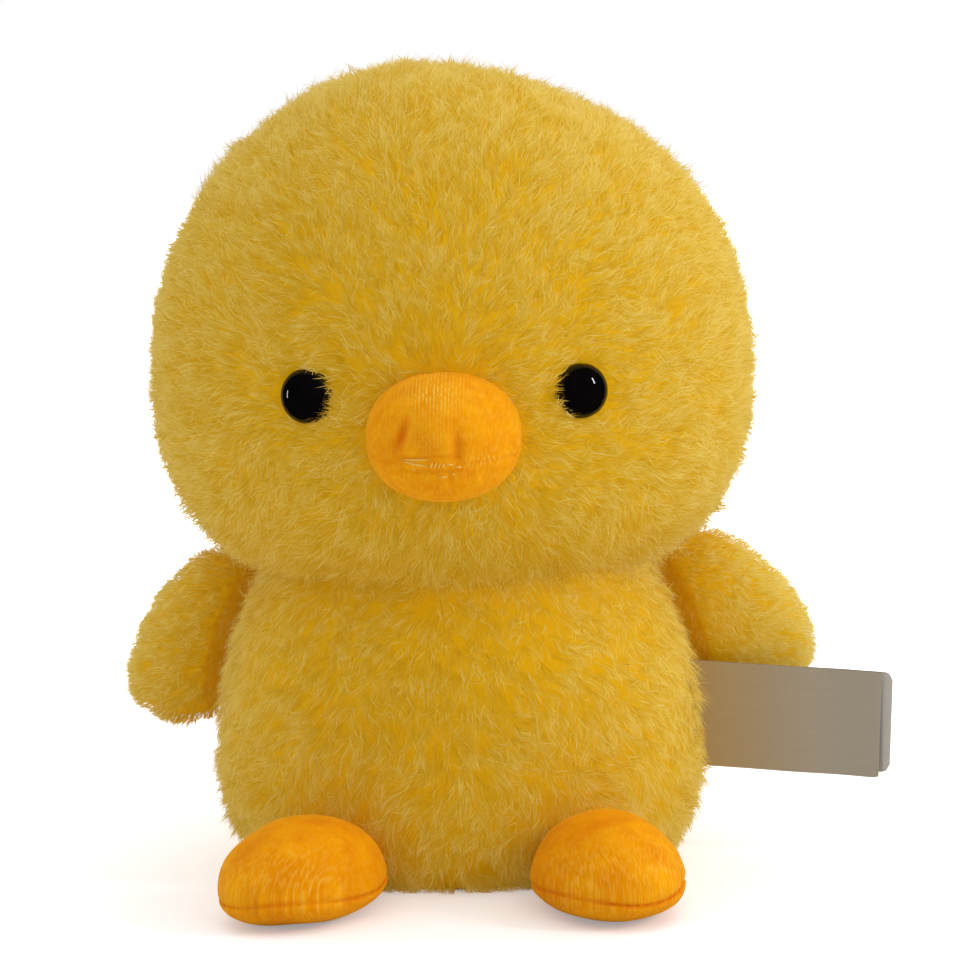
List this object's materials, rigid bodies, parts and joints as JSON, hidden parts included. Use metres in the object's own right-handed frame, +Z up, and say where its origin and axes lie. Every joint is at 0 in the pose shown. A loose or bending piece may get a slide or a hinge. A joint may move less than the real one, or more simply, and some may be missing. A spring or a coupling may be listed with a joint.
{
  "type": "plush chick",
  "caption": "Sitting plush chick with a large round head on a soft neck, swinging wings, stuffed velour beak and feet, and a sewn-in blank label.",
  "frame": {"origin": "centre of the seat panel's flat underside, on the surface that the toy sits on", "axes": "+Z up, -Y towards the viewer of the face, +X towards the toy's own left wing and the label"},
  "size_m": [0.2231, 0.1872, 0.238],
  "materials": {
    "pile_cloth": "long soft yellow pile",
    "velour": "short orange velour with a fine rib",
    "eye_plastic": "polished black",
    "washer_plastic": "plain moulded",
    "fibre_fill": "loose white fibre",
    "label_satin": "bare off-white satin tape"
  },
  "bodies": {
    "body": {"body_front_panel_left": "pile_cloth", "body_front_panel_right": "pile_cloth", "body_back_panel_left": "pile_cloth", "body_back_panel_right": "pile_cloth", "body_base_panel": "pile_cloth", "body_stuffing": "fibre_fill"},
    "neck": {"neck_stuffing": "fibre_fill"},
    "head": {"head_front_panel_left": "pile_cloth", "head_front_panel_right": "pile_cloth", "head_back_panel_left": "pile_cloth", "head_back_panel_right": "pile_cloth", "head_stuffing": "fibre_fill", "eye_left": "eye_plastic", "eye_right": "eye_plastic", "eye_washer_left": "washer_plastic", "eye_washer_right": "washer_plastic", "beak_upper_panel": "velour", "beak_lower_panel": "velour", "beak_stuffing": "fibre_fill"},
    "label": {"label_front_leaf": "label_satin", "label_back_leaf": "label_satin"},
    "wing_left": {"wing_left_front_panel": "pile_cloth", "wing_left_back_panel": "pile_cloth", "wing_left_stuffing": "fibre_fill"},
    "foot_left": {"foot_left_top_panel": "velour", "foot_left_sole_panel": "velour", "foot_left_stuffing": "fibre_fill"},
    "wing_right": {"wing_right_front_panel": "pile_cloth", "wing_right_back_panel": "pile_cloth", "wing_right_stuffing": "fibre_fill"},
    "foot_right": {"foot_right_top_panel": "velour", "foot_right_sole_panel": "velour", "foot_right_stuffing": "fibre_fill"}
  },
  "joints": [
    {"name": "head_turn", "type": "hinge", "parent": "body", "child": "neck", "pos_m": [0, 0, 0.058], "axis": [0, 0, 1], "range_deg": [-25, 25], "stiffness_Nm_per_rad": 0.6},
    {"name": "head_nod", "type": "hinge", "parent": "neck", "child": "head", "pos_m": [0, 0, 0.058], "axis": [1, 0, 0], "range_deg": [-6, 6], "stiffness_Nm_per_rad": 2},
    {"name": "wing_left_swing", "type": "hinge", "parent": "body", "child": "wing_left", "pos_m": [0.06682, 0.008, 0.066], "axis": [0.3126, 0.0101, -0.9498], "range_deg": [-30, 8], "stiffness_Nm_per_rad": 0.03},
    {"name": "wing_right_swing", "type": "hinge", "parent": "body", "child": "wing_right", "pos_m": [-0.06682, 0.008, 0.066], "axis": [0.3126, -0.0101, 0.9498], "range_deg": [-30, 28], "stiffness_Nm_per_rad": 0.03},
    {"name": "foot_left_lift", "type": "hinge", "parent": "body", "child": "foot_left", "pos_m": [0.03276, -0.05674, 0.0235], "axis": [-0.866, -0.5, 0], "range_deg": [0, 12], "stiffness_Nm_per_rad": 0.2},
    {"name": "foot_right_lift", "type": "hinge", "parent": "body", "child": "foot_right", "pos_m": [-0.03276, -0.05674, 0.0235], "axis": [-0.866, 0.5, 0], "range_deg": [0, 12], "stiffness_Nm_per_rad": 0.2},
    {"name": "label_swing", "type": "hinge", "parent": "body", "child": "label", "pos_m": [0.0738, -0.004, 0.042], "axis": [0, 0, -1], "range_deg": [-3, 55], "stiffness_Nm_per_rad": 0.001}
  ]
}
